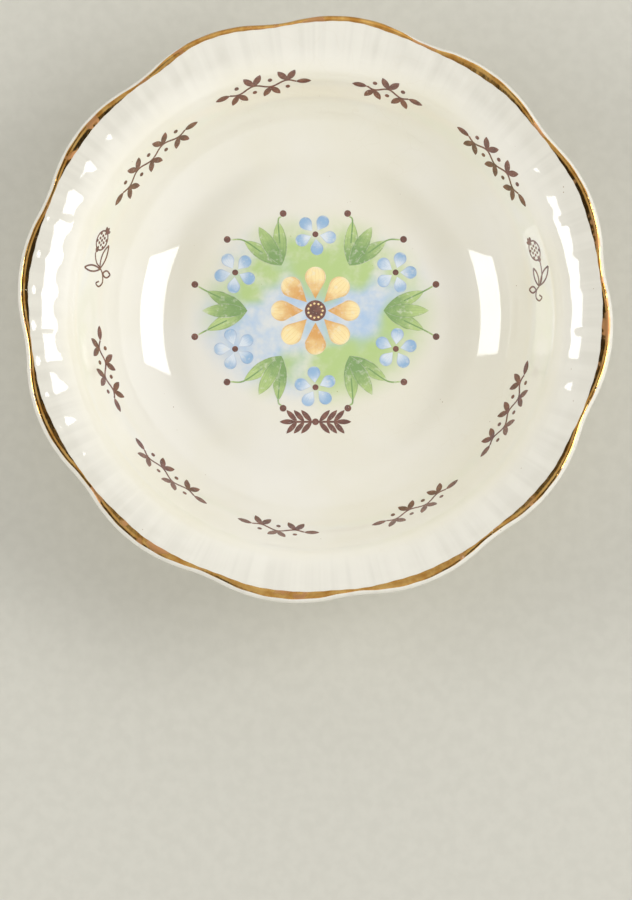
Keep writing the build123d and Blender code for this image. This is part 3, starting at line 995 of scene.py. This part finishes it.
def gilt_band(material):
    """Gold lining on the crest of the lip, between a round inner edge and a scalloped outer one."""
    turns = lobe_count * gilt_steps_per_lobe
    angle = np.linspace(0, 2 * pi, turns, endpoint=False)
    lip = lip_radius(angle)
    rise = np.clip((angle - slip_start) / slip_rise, 0, 1)
    fall = np.clip((slip_end - angle) / slip_fall, 0, 1)
    slip = (rise * fall) ** 2 * (3 - 2 * rise * fall)
    in_dip = 0.5 - 0.5 * np.cos(lobe_count * (angle - first_lobe_angle))
    inner = rim_radius - gilt_reach + 2 * gilt_swell * (1 - in_dip) + waver(angle, inner_waver)
    inner = inner + slip * (gilt_slip - gilt_follow * in_dip)
    inset = gilt_inset - gilt_creep - gilt_outer_slip * slip + waver(angle, outer_waver)
    outer = lip_radius(angle, inset)
    share = np.linspace(0, 1, gilt_columns)
    radius = inner[:, None] + (outer - inner)[:, None] * share
    centre = (lip - lip_round)[:, None]
    touch = centre - lip_round * sin(rim_slope)
    arc = np.sqrt(np.maximum(lip_round**2 - (radius - centre) ** 2, 0))
    on_arc = rim_line(centre, lip_round) + arc
    height = np.where(radius < touch, rim_line(radius, 0), on_arc)
    lean = np.where(radius < touch, -rim_slope, np.arcsin(np.clip((radius - centre) / lip_round, -1, 1)))
    points = []
    for lift in (gilt_lift, -film_sink):
        lifted = round_points(angle, radius + lift * np.sin(lean), height + lift * np.cos(lean))
        points.append(lifted.reshape(-1, 3))
    columns = len(share)
    under = turns * columns
    faces = [*grid_faces(turns, columns, 0, True), *grid_faces(turns, columns, under, True, True)]
    for column, flip in ((0, True), (columns - 1, False)):
        top = np.arange(turns) * columns + column
        quads = np.stack([top, top + under, np.roll(top, -1) + under, np.roll(top, -1)], axis=-1)
        faces.extend(quads if flip else quads[:, ::-1])
    return make_piece("gold_lining", np.vstack(points), faces, material, "gilt", "gilt_rim_band")


def dress():
    """Every visible surface of the dish."""
    glaze = glaze_material()
    ink = ink_material()
    glaze_shell(glaze)
    gilt_band(gilt_material())
    for name, material in (("biscuit_body", clay_material()), ("foot_well_glaze", glaze)):
        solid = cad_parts[name]
        solid.data.materials.clear()
        solid.data.materials.append(material)
    for number, (angle, span, climb) in enumerate(border, start=1):
        prints = Prints(on_wall(angle, climb))
        vine(prints, span, climb)
        prints.piece(f"garland_{number}", ink, "brown_print", f"border_transfer_{number}")
    sprigs = (
        ("left", left_sprig_angle, left_stem, left_bud_angle, left_leaves, 1),
        ("right", right_sprig_angle, right_stem, right_bud_angle, right_leaves, -1),
    )
    for name, place, stem, bud_angle, leaves, way in sprigs:
        prints = Prints(on_wall(place, sprig_climb))
        sprig(prints, stem, bud_angle, leaves, way)
        prints.piece(f"{name}_sprig", ink, "brown_print", f"{name}_sprig_transfer")
    picture(ink)
    prints = Prints(on_well)
    lower_spray(prints)
    prints.piece("lower_spray", ink, "brown_print", "lower_transfer")


# Camera of the photograph's upper picture, aimed so that the rim's middle falls on its pixel
camera_elevation = radians(80.36)
camera_distance = 1.587
camera_lens = 245.0
sensor_width = 36.0
image_width = 632
image_height = 900
rim_centre_pixel = (315.5, 306.5)
rim_centre = Vector((0, 0, 37.9 * mm))

# Softboxes on both sides: place, width and height in metres, power, and roll round the line to the dish
left_box = ((-1.10, 0.085, 0.72), (0.68, 0.48), 5.6, 0.0)
right_box = ((0.94, 0.125, 0.935), (0.73, 0.52), 6.4, radians(-5))

# Room light: bright walls under a dark ceiling with a pale strip across its middle
room_colour = colour(255, 254, 253)
room_light = 1.05
window_tilt = 0.3  # how much brighter the wall on the right is than the middle
front_tilt = -0.12  # and the wall at the back, which is darker
room_dark = 0.04
ceiling_start = 0.6  # upward part of a unit direction
ceiling_full = 0.85
strip_half = 0.15  # sideways part of a unit direction
strip_fade = 0.4
strip_shade = 0.35  # how dark the strip is against the rest of the ceiling

# Paper that the dish stands on
floor_half = 4.0
floor_drop = 0.1 * mm


def lay_floor(scene):
    """A wide sheet of paper just under the foot."""
    material, tree, shader = new_material("backdrop_paper")
    fibre = spread(tree, noise(tree, paper_scale, 3), 0.3, 0.7)
    link(tree, shader.inputs["Base Color"], mix_colour(tree, fibre, floor_colour, floor_grain))
    shader.inputs["Roughness"].default_value = paper_roughness
    corners = ((-1, -1), (1, -1), (1, 1), (-1, 1))
    floor_points = [(x * floor_half, y * floor_half, 0) for x, y in corners]
    mesh = bpy.data.meshes.new("backdrop")
    mesh.from_pydata(floor_points, [], [(0, 1, 2, 3)])
    mesh.materials.append(material)
    floor = bpy.data.objects.new("backdrop", mesh)
    floor.location.z = -floor_drop
    scene.collection.objects.link(floor)


def hang_lamps(scene):
    """A softbox on each side, aimed at the middle of the rim."""
    for name, box in (("left_softbox", left_box), ("right_softbox", right_box)):
        place, (width, height), power, roll = box
        lamp = bpy.data.lights.new(name, "AREA")
        lamp.shape = "RECTANGLE"
        lamp.size = width
        lamp.size_y = height
        lamp.energy = power
        holder = bpy.data.objects.new(name, lamp)
        holder.location = place
        aim = (rim_centre - Vector(place)).to_track_quat("-Z", "Y")
        holder.rotation_euler = (aim @ Quaternion((0, 0, 1), roll)).to_euler()
        scene.collection.objects.link(holder)


def light_room(scene):
    """The light that comes from the walls and the ceiling."""
    world = bpy.data.worlds.new("studio")
    world.use_nodes = True
    scene.world = world
    tree = world.node_tree
    view_way = node(tree, "ShaderNodeTexCoord").outputs["Generated"]
    direction = node(tree, "ShaderNodeSeparateXYZ", None, Vector=view_way).outputs
    overhead = spread(tree, direction["Z"], ceiling_start, ceiling_full)
    sideways = math_node(tree, "ABSOLUTE", direction["X"])
    beside_strip = spread(tree, sideways, strip_half, strip_fade, strip_shade, 1.0)
    unlit = math_node(tree, "MULTIPLY", overhead, beside_strip)
    wall_light = math_node(tree, "MULTIPLY_ADD", direction["X"], window_tilt, room_light)
    wall_light = math_node(tree, "MULTIPLY_ADD", direction["Y"], front_tilt, wall_light)
    less_light = math_node(tree, "SUBTRACT", room_dark, wall_light)
    background = tree.nodes["Background"]
    background.inputs["Color"].default_value = room_colour
    strength = math_node(tree, "MULTIPLY_ADD", unlit, less_light, wall_light)
    link(tree, background.inputs["Strength"], strength)


def set_camera(scene):
    """The camera of the photograph's upper picture."""
    camera = bpy.data.cameras.new("camera")
    camera.sensor_width = sensor_width
    camera.lens = camera_lens
    holder = bpy.data.objects.new("camera", camera)
    back = Vector((0, -cos(camera_elevation), sin(camera_elevation)))
    up = Vector((0, sin(camera_elevation), cos(camera_elevation)))
    holder.location = rim_centre + back * camera_distance
    focal_pixels = camera_lens / sensor_width * image_height
    raise_angle = atan((image_height / 2 - rim_centre_pixel[1]) / focal_pixels)
    side_angle = atan((rim_centre_pixel[0] - image_width / 2) / focal_pixels)
    forward = -back * cos(raise_angle) - up * sin(raise_angle) - Vector((1, 0, 0)) * tan(side_angle)
    holder.rotation_euler = forward.to_track_quat("-Z", "Y").to_euler()
    scene.collection.objects.link(holder)
    scene.camera = holder


def stage():
    """Everything round the dish."""
    scene = bpy.context.scene
    lay_floor(scene)
    hang_lamps(scene)
    light_room(scene)
    set_camera(scene)
    scene.view_settings.view_transform = "Standard"


dress()
stage()
